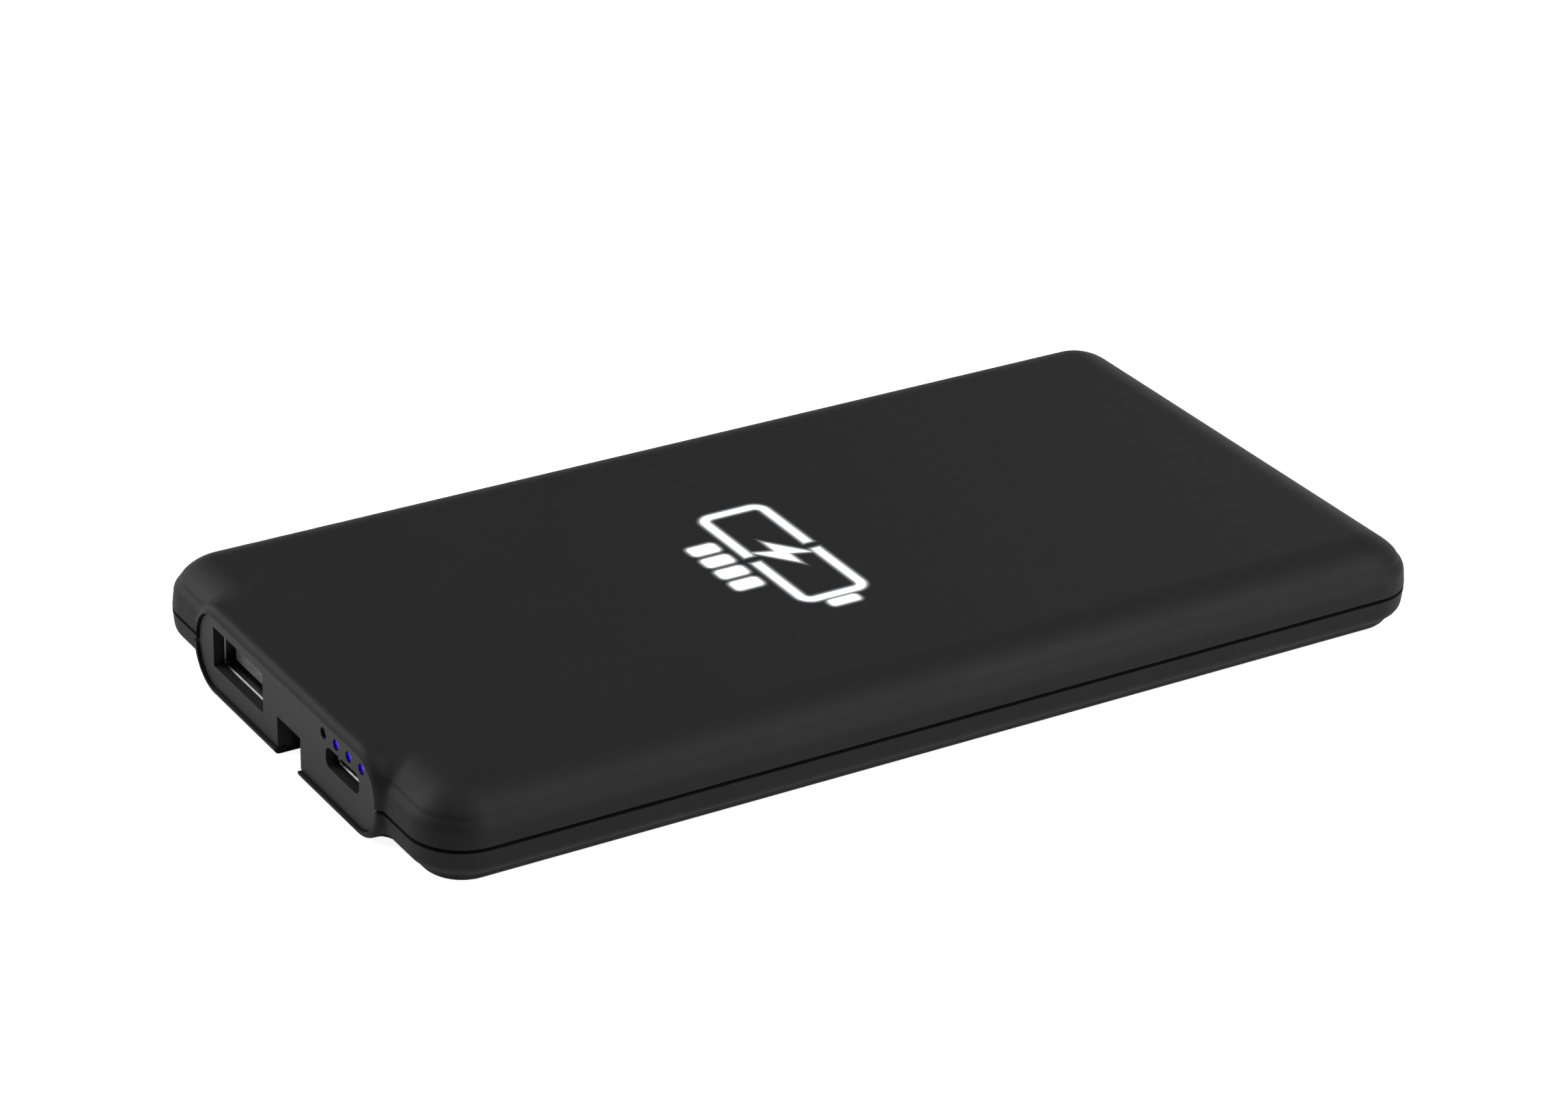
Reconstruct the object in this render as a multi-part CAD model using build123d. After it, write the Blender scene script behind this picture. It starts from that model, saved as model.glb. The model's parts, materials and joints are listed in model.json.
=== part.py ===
from build123d import *

import math
import os

# Slim rubber-coated power bank, lying flat. Millimetres, +Z up.
# The origin is the middle of the footprint on the surface that it lies on.
# The port end is -X. Two shallow covers meet at a dark reveal gap. Each cover has a drafted flange
# and a soft shoulder up to a flat plateau, and a nose carries that plateau out over the port panel.

os.makedirs("parts", exist_ok=True)

# ---- outline and covers ----
LENGTH = 131.8          # nose face to far end
WIDTH = 69.8
HEIGHT = 11.05
PARTING_Z = 5.0         # middle of the reveal gap
REVEAL = 0.48           # height of the dark gap between the covers
CORNER_R = 6.5          # corner radius of the outline, and how far the soft edge reaches inwards
NOSE_PROUD = 0.7        # how far the nose stands out of the end wall
WALL = 1.5              # side wall at the gap
TOP_SKIN = 1.2
FLOOR = 1.15
LIP_INSET = 0.9         # the bottom cover's lip stands this far in from the outline
LIP_TOP = 6.2
LIP_FIT = 0.05
BOTTOM_LEVEL = 0.0
TOP_SLOPE_Z, TOP_CEILING_INSET = 7.75, 5.6      # the inner wall is upright up to here, then leans in this far
BOTTOM_SLOPE_Z, BOTTOM_FLOOR_INSET = 2.95, 3.9
RIB_T, RIB_GAP, RIB_ROOT = 1.0, 0.6, 0.3        # ribs: thickness, gap to the cell, depth in the floor
RIB_TOP = 3.4
END_RIB_HALF_W = 20.0
REACH = 100.0           # cutting solids run at least this far past what they cut

NOSE_X = -LENGTH / 2
PORT_WALL_X = NOSE_X + NOSE_PROUD
FAR_X = LENGTH / 2
HALF_W = WIDTH / 2
GAP_HALF = REVEAL / 2

# ---- soft edge of each cover, as heights away from the parting plane ----
# flange height and slope, edge radius, draft, shoulder foot, shoulder radius and plateau start
TOP_EDGE = dict(plateau=HEIGHT - PARTING_Z, plateau_in=6.5, shoulder_r=7.2, foot=1.1,
                flange=3.5, flange_slope=0.3, flange_in=1.4, edge_r=1.2, draft=0.1, soft=0.4)
BOTTOM_EDGE = dict(plateau=PARTING_Z - BOTTOM_LEVEL, plateau_in=3.3, shoulder_r=1.9, foot=1.4,
                   flange=3.42, flange_slope=0.2, flange_in=1.4, edge_r=1.2, draft=0.1, soft=0.5)

# ---- nose ----
NOSE_HALF_W = 22.95
NOSE_CORNER_R = 5.2     # corners of the nose seen from the port end
NOSE_EDGE_TOP = 1.25    # rounding of its front edge above the gap
NOSE_EDGE_BOTTOM = 0.6
NOSE_SOFT = 1.4         # size of the hollow blend into the shoulders
NOSE_SOFT_WALL = 0.3    # size of the same blend low on the end wall and at the plateau
NOSE_BLEND_END = 15.0   # the nose section is constant inside this half width
SECTION_STEPS = 40      # rays that sample one section
SECTION_REACH = 12.0    # longest ray
HALVINGS = 40           # halvings that find where a ray leaves the form
# half widths between which the sections through the blend are spread, and how many in each stretch
BLEND_STRETCHES = ((HALF_W - CORNER_R, 24.2, 5), (24.2, 21.2, 15), (21.2, NOSE_BLEND_END, 8))

# ---- port panel ----
OPENING_W, OPENING_LOW, OPENING_HIGH, OPENING_R = 44.0, 0.75, 9.95, 4.2
PANEL_RECESS = 0.4
PANEL_GAP = 0.17
PANEL_PLATE = 1.0       # thickness of the plate that fills the opening
PANEL_FLANGE = 0.8      # thickness of the flange held behind the rim
PANEL_OVERLAP = 0.35    # how far the flange reaches behind the rim
PANEL_FACE_X = NOSE_X + PANEL_RECESS
PANEL_MID_X = PANEL_FACE_X + PANEL_PLATE
PANEL_BACK_X = PANEL_MID_X + PANEL_FLANGE
USB_A_Y, USB_A_Z, USB_A_W, USB_A_H = 11.9, 5.95, 12.6, 5.0
MICRO_Y, MICRO_Z, MICRO_W, MICRO_H, MICRO_R = -13.8, 5.78, 7.94, 2.52, 1.0
LED_PITCH, LED_FIRST_Y, LED_Z, LED_HOLE_R = 3.0, -9.34, 8.19, 0.685
LED_COUNT = 4
NOTCH_LOW_Y, NOTCH_HIGH_Y, NOTCH_TOP = -3.61, 2.07, 4.77
NOTCH_DEPTH = 8.0
NOTCH_WALL = 0.9
BEHIND_PANEL = 0.4      # the covers' opening is this much smaller behind the panel's flange
SOCKET_RELIEF = 0.2     # the relief for the sockets starts this far into the panel's flange

# ---- circuit board ----
BOARD_T = 1.0
BOARD_TOP = 4.45
BOARD_X0, BOARD_X1, BOARD_HALF_W = -62.9, -33.4, 30.0
BOARD_CORNER_R = 1.5
SCREW_X = (-58.5, -37.0)
SCREW_Y = 26.5
SCREW_R = 0.8
SCREW_LOW, PILOT_LOW = 2.0, 1.9
SCREW_HEAD_R, SCREW_HEAD_H, SCREW_CROSS_W, SCREW_CROSS_L = 1.6, 0.9, 0.36, 1.8
BOSS_R = 2.0
BOARD_FIT = 0.3         # clearance of the board's cut-outs

# ---- sockets ----
SHEET = 0.3             # thickness of the socket shells
SHELL_EDGE = 0.15       # bevel inside each shell's front edge
SHELL_BEHIND = 1.35     # shell front edge behind the panel's face
USB_A_OUT_W, USB_A_OUT_H, USB_A_LEN, USB_A_R, USB_A_BASE_L = 13.1, 5.6, 13.4, 0.5, 4.0
TONGUE_W, TONGUE_T, TONGUE_LOW_Z, TONGUE_BEHIND = 11.1, 1.84, 4.0, 2.4
LUG_X, LUG_L, LUG_DOWN, LUG_UP = 6.0, 2.0, 1.6, 0.6     # solder lugs of the large socket's shell
# contacts of the large socket: places across it, how far each starts behind the tongue's tip
USB_A_CONTACTS = ((-3.5, 0.9), (-1.0, 1.9), (1.0, 1.9), (3.5, 0.9))
USB_A_CONTACT_W, USB_A_CONTACT_T = 1.0, 0.15
MICRO_OUT_W, MICRO_OUT_H, MICRO_LEN, MICRO_SHELL_R, MICRO_BASE_L = 7.5, 2.6, 5.4, 0.8, 1.9
MICRO_TONGUE_W, MICRO_TONGUE_T, MICRO_TONGUE_UP, MICRO_TONGUE_BEHIND = 3.9, 0.6, 0.25, 0.9
MICRO_CONTACT_W, MICRO_CONTACT_T, MICRO_CONTACT_PITCH, MICRO_CONTACT_BEHIND = 0.34, 0.12, 0.65, 1.3

# ---- cell, light guide and glowing mark ----
CELL_X0, CELL_X1, CELL_HALF_W = -31.0, 60.0, 29.5
TAPE_T = 0.35
CELL_T = 6.1
CELL_LOW = FLOOR + TAPE_T
CELL_TOP = CELL_LOW + CELL_T
CELL_R, CELL_EDGE_R, CELL_SEAM, CELL_SEAM_HALF_T = 2.0, 1.6, 2.5, 0.3
TAB_Y, TAB_HALF_W, TAB_T, TAB_PAD_L, TAB_RISE_X, TAB_RISE_T = 20.0, 3.0, 0.16, 3.5, 2.0, 0.2
TAPE_HALF_W, TAPE_END = 24.0, 6.0
FOAM_HALF_W, FOAM_START, FOAM_END = 20.0, 4.0, 8.0
GUIDE_T = 1.2
GUIDE_TOP = HEIGHT - TOP_SKIN
GUIDE_X1, GUIDE_HALF_W = 12.0, 17.0
MARK_X, MARK_Y = -2.2, -0.8       # middle of the battery symbol
MARK_W, MARK_H, MARK_LINE, MARK_R = 24.4, 9.0, 1.0, 1.8
TERMINAL_GAP, TERMINAL_W, TERMINAL_H, TERMINAL_R = 0.55, 1.5, 3.8, 0.5
LEVEL_R = 0.6
GUIDE_X0, GUIDE_LEG_X0, GUIDE_LEG_T, GUIDE_LEG_HALF_W = -35.0, -36.4, 1.6, 9.0
GUIDE_RIB_X0, GUIDE_RIB_DOWN, GUIDE_RIB_UP = -30.0, 0.9, 0.2
MARK_BRIDGE = 1.8                 # break in the symbol's outline, which keeps its middle joined to the cover
LEVEL_X = -9.9                    # middle of the row of level bars
LEVEL_COUNT, LEVEL_PITCH, LEVEL_W, LEVEL_H = 4, 3.2, 2.2, 3.6

# ---- power button ----
BUTTON_X, BUTTON_Z, BUTTON_L, BUTTON_H = -46.0, 6.75, 9.0, 1.9
BUTTON_FIT = 0.1        # clearance round the cap
BUTTON_FACE_Y = HALF_W - 0.02
EAR_L, EAR_H, EAR_T, EAR_GAP = 10.8, 1.7, 0.75, 0.15
STEM_W, STEM_LOW, STEM_HIGH = 2.4, 0.6, 0.9
SWITCH_Z, SWITCH_FACE_Y = 5.75, BOARD_HALF_W - 0.1
SWITCH_L, SWITCH_W, SWITCH_H = 4.6, 3.2, 2.5
POCKET_L, POCKET_W, POCKET_H = 2.2, 1.6, 1.2
PLUNGER_L, PLUNGER_IN, PLUNGER_OUT, PLUNGER_H, PLUNGER_R = 2.0, 0.9, 0.8, 1.0, 0.25

# ---- components on the board: middle x and y, then length, width and height ----
INDUCTOR = (-43.0, 14.0, 6.6, 6.6, 2.8)
CONTROLLER = (-50.0, -14.0, 5.0, 5.0, 0.9)
PROTECTION = (-40.0, -24.0, 3.0, 2.8, 1.0)
POWER_SWITCH_X, POWER_SWITCH_Y, POWER_SWITCH_SIZE = (-47.5, -42.5), 4.0, (3.3, 3.3, 0.8)
OUTPUT_CAP_START, OUTPUT_CAP_PITCH, OUTPUT_CAP_SIZE = (-49.0, 23.2), 3.0, (2.0, 1.3, 1.2)
CHIP_CAP_START, CHIP_CAP_PITCH, CHIP_CAP_SIZE = (-54.0, -20.5), 2.6, (1.6, 0.8, 0.8)
RESISTOR_START, RESISTOR_PITCH, RESISTOR_SIZE = (-46.0, -9.0), 1.8, (1.6, 0.8, 0.5)
MARK_LAMP_X, MARK_LAMP_YS, MARK_LAMP_SIZE = -35.6, (-6.0, 0.0, 6.0), (1.4, 3.0, 0.8)
GAUGE_LAMP_SIZE = (1.6, 0.8, 0.7)

# ---- light pipes of the gauge ----
PIPE_BEHIND = 0.25      # pipe tips behind the panel's face
PIPE_FIT = 0.03
PIPE_W = 1.2
PIPE_BEND = 0.9
LAMP_ROOM = 0.05        # between a lamp and the clear piece above it


# ---------------------------------------------------------------- soft outer form

def soft_union(a, b, soft):
    """Joins two signed distances with a hollow blend about `soft` wide."""
    near = max(soft - abs(a - b), 0) / soft
    return min(a, b) - near * near * soft / 4


def rounded_both(a, b, radius):
    """Keeps what is inside both distances, with the edge between them rounded."""
    a, b = a + radius, b + radius
    return min(max(a, b), 0) + math.hypot(max(a, 0), max(b, 0)) - radius


def edge_distance(inset, height, edge):
    """Signed distance to a cover's side section, at an inset from the outline and a height off the parting."""
    wall = edge["draft"] * (height - GAP_HALF) - inset
    top = height - edge["flange"] - edge["flange_slope"] * (inset - edge["flange_in"])
    flange = rounded_both(wall, top, edge["edge_r"])
    centre_h = edge["plateau"] - edge["shoulder_r"]
    if inset < edge["plateau_in"]:
        disc = math.hypot(inset - edge["plateau_in"], height - centre_h) - edge["shoulder_r"]
    else:
        disc = height - edge["plateau"]
    shoulder = max(disc, edge["foot"] - inset)
    return soft_union(flange, shoulder, edge["soft"])


def nose_distance(y, z, proud, edge_r):
    """Signed distance to the nose: a round-cornered block whose front face stands out of the port wall."""
    half_h = HEIGHT / 2
    dy = abs(y) - NOSE_HALF_W + NOSE_CORNER_R
    dz = abs(z - half_h) - half_h + NOSE_CORNER_R
    side = min(max(dy, dz), 0) + math.hypot(max(dy, 0), max(dz, 0)) - NOSE_CORNER_R
    return rounded_both(side, proud, edge_r)


def section_points(edge, side, y=None):
    """Outer line of a cover's section, from the gap to the plateau, as (inset, z) points.

    side is +1 for the top cover and -1 for the bottom one. With y, the nose is blended in at that y.
    """
    pivot_in, pivot_h = CORNER_R, GAP_HALF
    nose_edge = NOSE_EDGE_TOP if side > 0 else NOSE_EDGE_BOTTOM
    flat = edge["plateau"]

    def inside(reach, angle):
        inset = pivot_in - reach * math.cos(angle)
        height = pivot_h + reach * math.sin(angle)
        if height > flat or inset < -NOSE_PROUD:
            return False
        distance = edge_distance(inset, height, edge)
        if y is not None:
            nose = nose_distance(y, PARTING_Z + side * height, -NOSE_PROUD - inset, nose_edge)
            soft = NOSE_SOFT_WALL + (NOSE_SOFT - NOSE_SOFT_WALL) * math.sin(2 * angle)
            distance = soft_union(distance, nose, soft)
        return distance <= 0

    points = []
    for step in range(SECTION_STEPS + 1):
        angle = math.radians(90) * step / SECTION_STEPS
        near, far = 0.0, SECTION_REACH
        for _ in range(HALVINGS):
            middle = (near + far) / 2
            near, far = (middle, far) if inside(middle, angle) else (near, middle)
        points.append((pivot_in - near * math.cos(angle),
                       PARTING_Z + side * (pivot_h + near * math.sin(angle))))
    return points


def section_face(points, origin, outward, z_gap):
    """Closed face of a side section, standing at origin on the outline, with its outer side along outward."""
    def place(inset, z):
        return Vector(origin[0] - outward[0] * inset, origin[1] - outward[1] * inset, z)

    outer = [place(inset, z) for inset, z in points]
    inner = place(CORNER_R, z_gap)
    return Face(Wire([Spline(*outer), Line(outer[-1], inner), Line(inner, outer[0])]))


def outer_form(edge, side):
    """Solid outer form of one cover, from the gap to its plateau."""
    z_gap = PARTING_Z + side * GAP_HALF
    z_flat = PARTING_Z + side * edge["plateau"]
    plain = section_points(edge, side)
    x0, x1 = PORT_WALL_X + CORNER_R, FAR_X - CORNER_R
    y1 = HALF_W - CORNER_R

    near = section_face(plain, (x0, -HALF_W), (0, -1), z_gap)
    far_end = section_face(plain, (FAR_X, -y1), (1, 0), z_gap)
    port = section_face(plain, (PORT_WALL_X, -y1), (-1, 0), z_gap)
    near_side = extrude(near, x1 - x0, dir=(1, 0, 0))
    near_corner = revolve(port, Axis((x0, -y1, 0), (0, 0, 1)), 90)
    far_corner = revolve(far_end, Axis((x1, -y1, 0), (0, 0, 1)), -90)
    middle = Pos((x0 + x1) / 2, 0, (z_gap + z_flat) / 2) * Box(x1 - x0, 2 * y1, abs(z_flat - z_gap))

    stations = [y1]
    for start, end, count in BLEND_STRETCHES:
        stations += [start + (end - start) * k / count for k in range(1, count + 1)]
    faces = [section_face(section_points(edge, side, y), (PORT_WALL_X, -y), (-1, 0), z_gap)
             for y in stations]
    blend = loft(faces)
    nose = extrude(faces[-1], 2 * NOSE_BLEND_END, dir=(0, 1, 0))

    half = [near_side, near_corner, far_corner, blend]
    solids = half + [mirror(piece, about=Plane.XZ) for piece in half]
    solids += [extrude(far_end, 2 * y1, dir=(0, 1, 0)), nose]
    return middle.fuse(*solids).clean()


# ---------------------------------------------------------------- shared shapes

def block(x0, x1, y0, y1, z0, z1):
    """Box between two corners."""
    return Pos((x0 + x1) / 2, (y0 + y1) / 2, (z0 + z1) / 2) * Box(x1 - x0, y1 - y0, z1 - z0)


def outline_face(inset, z):
    """Rounded outline of the case, set in by inset, at height z."""
    radius = max(CORNER_R - inset, 0.8)
    face = RectangleRounded(FAR_X - PORT_WALL_X - 2 * inset, WIDTH - 2 * inset, radius)
    return Pos((FAR_X + PORT_WALL_X) / 2, 0, z) * face


def outline_block(inset, z0, z1):
    return extrude(outline_face(inset, z0), z1 - z0, dir=(0, 0, 1))


def port_prism(y, z, width, height, radius, x0, x1):
    """Round-cornered bar along X, centred at y and z."""
    shape = RectangleRounded(width, height, radius) if radius > 0 else Rectangle(width, height)
    return extrude(Plane((x0, y, z), x_dir=(0, 1, 0), z_dir=(1, 0, 0)) * shape, x1 - x0)


def opening_prism(grow, x0, x1):
    height = OPENING_HIGH - OPENING_LOW
    return port_prism(0, (OPENING_HIGH + OPENING_LOW) / 2, OPENING_W + 2 * grow, height + 2 * grow,
                      OPENING_R + grow, x0, x1)


def rod(x, y, z0, z1, radius):
    return Pos(x, y, (z0 + z1) / 2) * Cylinder(radius, z1 - z0)


def side_pill(length, height, y0, y1, z):
    """Pill-shaped bar along Y for the power button and its hole."""
    plane = Plane((BUTTON_X, y0, z), x_dir=(1, 0, 0), z_dir=(0, 1, 0))
    return extrude(plane * SlotOverall(length, height), y1 - y0)


def save(name, *solids):
    """Writes one node; several solids become one group."""
    shape = solids[0] if len(solids) == 1 else Compound(children=list(solids))
    export_step(shape, f"parts/{name}.step")


# ---------------------------------------------------------------- glowing mark

def mark_shapes():
    """Flat shapes of the generic battery symbol and its level bars; they read along -Y, with +X upwards."""
    outside = RectangleRounded(MARK_W, MARK_H, MARK_R)
    inside = RectangleRounded(MARK_W - 2 * MARK_LINE, MARK_H - 2 * MARK_LINE, MARK_R / 2)
    bolt = Polygon((1.3, 2.9), (-3.0, -0.55), (-0.45, -0.55), (-1.3, -2.9), (3.0, 0.55), (0.45, 0.55),
                   align=None)
    terminal = Pos((MARK_W + TERMINAL_W) / 2 + TERMINAL_GAP, 0) * RectangleRounded(
        TERMINAL_W, TERMINAL_H, TERMINAL_R)
    frame = outside - inside - Rectangle(MARK_BRIDGE, 2 * MARK_H)
    shapes = [frame, bolt, terminal]
    for k in range(LEVEL_COUNT):
        u = (k - (LEVEL_COUNT - 1) / 2) * LEVEL_PITCH
        shapes.append(Pos(u, LEVEL_X - MARK_X) * RectangleRounded(LEVEL_W, LEVEL_H, LEVEL_R))
    return shapes


def mark_solids(z0, z1):
    plane = Plane((MARK_X, MARK_Y, z0), x_dir=(0, -1, 0), z_dir=(0, 0, 1))
    return [extrude(plane * shape, z1 - z0) for shape in mark_shapes()]


# ---------------------------------------------------------------- covers

def top_cover():
    cover = outer_form(TOP_EDGE, +1)
    ceiling = outline_face(TOP_CEILING_INSET, HEIGHT - TOP_SKIN)
    cavity = outline_block(WALL, PARTING_Z, TOP_SLOPE_Z)
    cavity += loft([outline_face(WALL, TOP_SLOPE_Z), ceiling], ruled=True)
    cavity += outline_block(LIP_INSET - LIP_FIT, PARTING_Z, LIP_TOP)
    cover -= cavity
    cover -= opening_prism(0, NOSE_X - 1, PANEL_BACK_X)
    cover -= opening_prism(PANEL_OVERLAP, PANEL_MID_X, PANEL_BACK_X)
    cover -= opening_prism(-BEHIND_PANEL, PANEL_BACK_X - 0.1, PORT_WALL_X + CORNER_R + 1)
    cover -= side_pill(BUTTON_L + 2 * BUTTON_FIT, BUTTON_H + 2 * BUTTON_FIT, HALF_W - 3, HALF_W + 1, BUTTON_Z)
    for piece in mark_solids(HEIGHT - TOP_SKIN - 0.5, HEIGHT + 1):
        cover -= piece
    rib_y = GUIDE_HALF_W + RIB_GAP
    for y in (-rib_y, rib_y):
        cover += block(GUIDE_RIB_X0, GUIDE_X1, y - RIB_T / 2, y + RIB_T / 2, GUIDE_TOP - GUIDE_RIB_DOWN,
                       GUIDE_TOP + GUIDE_RIB_UP)
    return cover


def bottom_cover():
    cover = outer_form(BOTTOM_EDGE, -1)
    cavity = outline_block(WALL, BOTTOM_SLOPE_Z, PARTING_Z)
    cavity += loft([outline_face(BOTTOM_FLOOR_INSET, FLOOR), outline_face(WALL, BOTTOM_SLOPE_Z)], ruled=True)
    cover -= cavity
    lip = outline_block(LIP_INSET, BOTTOM_SLOPE_Z, LIP_TOP)
    cover += lip - outline_block(WALL, BOTTOM_SLOPE_Z - 1, LIP_TOP + 1)
    cover -= block(BUTTON_X - 6, BUTTON_X + 6, HALF_W - 2, HALF_W, PARTING_Z + 0.3, LIP_TOP + 1)
    cover -= opening_prism(0, NOSE_X - 1, PANEL_BACK_X)
    cover -= opening_prism(PANEL_OVERLAP, PANEL_MID_X, PANEL_BACK_X)
    cover += block(PANEL_BACK_X, NOSE_X + NOTCH_DEPTH + NOTCH_WALL, NOTCH_LOW_Y - NOTCH_WALL,
                   NOTCH_HIGH_Y + NOTCH_WALL, BOTTOM_LEVEL + 0.3, NOTCH_TOP + NOTCH_WALL)
    cover -= block(NOSE_X - 1, NOSE_X + NOTCH_DEPTH, NOTCH_LOW_Y, NOTCH_HIGH_Y, -1, NOTCH_TOP)
    board_low = BOARD_TOP - BOARD_T
    for x in SCREW_X:
        for y in (-SCREW_Y, SCREW_Y):
            cover += rod(x, y, FLOOR - RIB_ROOT, board_low, BOSS_R)
            cover -= rod(x, y, PILOT_LOW, board_low + 1, SCREW_R)
    return cover + cell_ribs()


def cell_ribs():
    """Ribs on the bottom cover's floor that keep the cell in place, along both sides and at the far end."""
    rib_y, rib_x = CELL_HALF_W + RIB_GAP, CELL_X1 + RIB_GAP
    low = FLOOR - RIB_ROOT
    ribs = [block(rib_x, rib_x + RIB_T, -END_RIB_HALF_W, END_RIB_HALF_W, low, RIB_TOP)]
    for y in (-rib_y - RIB_T, rib_y):
        ribs.append(block(CELL_X0 + TAPE_END, CELL_X1 - TAPE_END, y, y + RIB_T, low, RIB_TOP))
    return ribs


def port_panel():
    plate = opening_prism(-PANEL_GAP, PANEL_FACE_X, PANEL_MID_X + 0.01)
    panel = plate + opening_prism(PANEL_OVERLAP - PANEL_GAP, PANEL_MID_X, PANEL_BACK_X)
    x0, x1 = PANEL_FACE_X - 1, PANEL_BACK_X + 1
    panel -= port_prism(USB_A_Y, USB_A_Z, USB_A_W, USB_A_H, 0, x0, x1)
    panel -= port_prism(MICRO_Y, MICRO_Z, MICRO_W, MICRO_H, MICRO_R, x0, x1)
    relief_x = PANEL_MID_X + SOCKET_RELIEF
    panel -= port_prism(USB_A_Y, USB_A_Z, USB_A_OUT_W + 0.3, USB_A_OUT_H + 0.3, USB_A_R, relief_x, x1)
    panel -= port_prism(MICRO_Y, MICRO_Z, MICRO_OUT_W + 0.6, MICRO_OUT_H + 0.4, MICRO_SHELL_R + 0.1,
                        relief_x, x1)
    panel -= block(x0, x1, NOTCH_LOW_Y, NOTCH_HIGH_Y, -1, NOTCH_TOP)
    for y in led_places():
        panel -= Pos(0, y, LED_Z) * Rot(0, 90, 0) * Cylinder(LED_HOLE_R, 2 * REACH)
    return panel


def led_places():
    return [LED_FIRST_Y - LED_PITCH * k for k in range(LED_COUNT)]


# ---------------------------------------------------------------- sockets

def shell_tube(y, z, width, height, radius, x0, x1):
    """Sheet-metal socket shell, closed at the back, with a bevel inside its front edge."""
    outside = port_prism(y, z, width, height, radius, x0, x1)
    inside = port_prism(y, z, width - 2 * SHEET, height - 2 * SHEET, radius - SHEET, x0 - 1, x1 - SHEET)
    tube = outside - inside
    front = tube.faces().sort_by(Axis.X)[0]
    return chamfer(front.inner_wires()[0].edges(), SHELL_EDGE)


def usb_a_parts():
    x0 = PANEL_FACE_X + SHELL_BEHIND
    x1 = x0 + USB_A_LEN
    shell = shell_tube(USB_A_Y, USB_A_Z, USB_A_OUT_W, USB_A_OUT_H, USB_A_R, x0, x1)
    side = USB_A_OUT_W / 2
    for lug_y in (USB_A_Y - side - SHEET, USB_A_Y + side):
        shell += block(x0 + LUG_X, x0 + LUG_X + LUG_L, lug_y, lug_y + SHEET, BOARD_TOP - LUG_DOWN,
                       BOARD_TOP + LUG_UP)
    tip_x, base_x = PANEL_FACE_X + TONGUE_BEHIND, x1 - USB_A_BASE_L
    base = port_prism(USB_A_Y, USB_A_Z, USB_A_OUT_W - 2 * SHEET, USB_A_OUT_H - 2 * SHEET, USB_A_R - SHEET,
                      base_x, x1 - SHEET)
    tongue = base + port_prism(USB_A_Y, TONGUE_LOW_Z + TONGUE_T / 2, TONGUE_W, TONGUE_T, USB_A_R - SHEET,
                               tip_x, base_x + 0.01)
    top, half = TONGUE_LOW_Z + TONGUE_T, USB_A_CONTACT_W / 2
    contacts = [block(tip_x + behind, base_x, USB_A_Y + across - half, USB_A_Y + across + half, top,
                      top + USB_A_CONTACT_T) for across, behind in USB_A_CONTACTS]
    return shell, tongue, contacts


def micro_parts():
    x0 = PANEL_FACE_X + SHELL_BEHIND
    x1 = x0 + MICRO_LEN
    z = BOARD_TOP + MICRO_OUT_H / 2
    shell = shell_tube(MICRO_Y, z, MICRO_OUT_W, MICRO_OUT_H, MICRO_SHELL_R, x0, x1)
    base_x = x1 - MICRO_BASE_L
    base = port_prism(MICRO_Y, z, MICRO_OUT_W - 2 * SHEET, MICRO_OUT_H - 2 * SHEET, MICRO_SHELL_R - SHEET,
                      base_x, x1 - SHEET)
    tongue_z = z + MICRO_TONGUE_UP
    tongue = base + port_prism(MICRO_Y, tongue_z, MICRO_TONGUE_W, MICRO_TONGUE_T, MICRO_TONGUE_T / 4,
                               x0 + MICRO_TONGUE_BEHIND, base_x + 0.01)
    top, half = tongue_z - MICRO_TONGUE_T / 2, MICRO_CONTACT_W / 2
    contacts = []
    for k in range(-2, 3):
        y = MICRO_Y + MICRO_CONTACT_PITCH * k
        contacts.append(block(x0 + MICRO_CONTACT_BEHIND, base_x, y - half, y + half,
                              top - MICRO_CONTACT_T, top))
    return shell, tongue, contacts


# ---------------------------------------------------------------- board and what it carries

def board_holes():
    """Through-cuts of the board: the sunk socket, the notch pocket and the screws."""
    usb_x1 = PANEL_FACE_X + SHELL_BEHIND + USB_A_LEN + BOARD_FIT
    half = USB_A_OUT_W / 2 + SHEET + BOARD_FIT / 2
    pocket = NOTCH_WALL + BOARD_FIT
    cuts = [block(BOARD_X0 - 1, usb_x1, USB_A_Y - half, USB_A_Y + half, 0, HEIGHT)]
    cuts.append(block(BOARD_X0 - 1, NOSE_X + NOTCH_DEPTH + pocket, NOTCH_LOW_Y - pocket,
                      NOTCH_HIGH_Y + pocket, 0, HEIGHT))
    cuts += [rod(x, y, 0, HEIGHT, SCREW_R + 0.2) for x in SCREW_X for y in (-SCREW_Y, SCREW_Y)]
    return cuts


def main_board():
    board = block(BOARD_X0, BOARD_X1, -BOARD_HALF_W, BOARD_HALF_W, BOARD_TOP - BOARD_T, BOARD_TOP)
    board = fillet(board.edges().filter_by(Axis.Z), BOARD_CORNER_R)
    for cut in board_holes():
        board -= cut
    return board


def board_screw(x, y):
    """Cross-head screw that stands in one of the bottom cover's bosses."""
    head = rod(x, y, BOARD_TOP, BOARD_TOP + SCREW_HEAD_H, SCREW_HEAD_R)
    head = fillet(head.edges().group_by(Axis.Z)[-1], SCREW_HEAD_H / 3)
    long, thin, low = SCREW_CROSS_L / 2, SCREW_CROSS_W / 2, BOARD_TOP + SCREW_HEAD_H / 2
    cross = block(x - long, x + long, y - thin, y + thin, low, low + SCREW_HEAD_H)
    cross += block(x - thin, x + thin, y - long, y + long, low, low + SCREW_HEAD_H)
    return head + rod(x, y, SCREW_LOW, BOARD_TOP, SCREW_R) - cross


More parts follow.
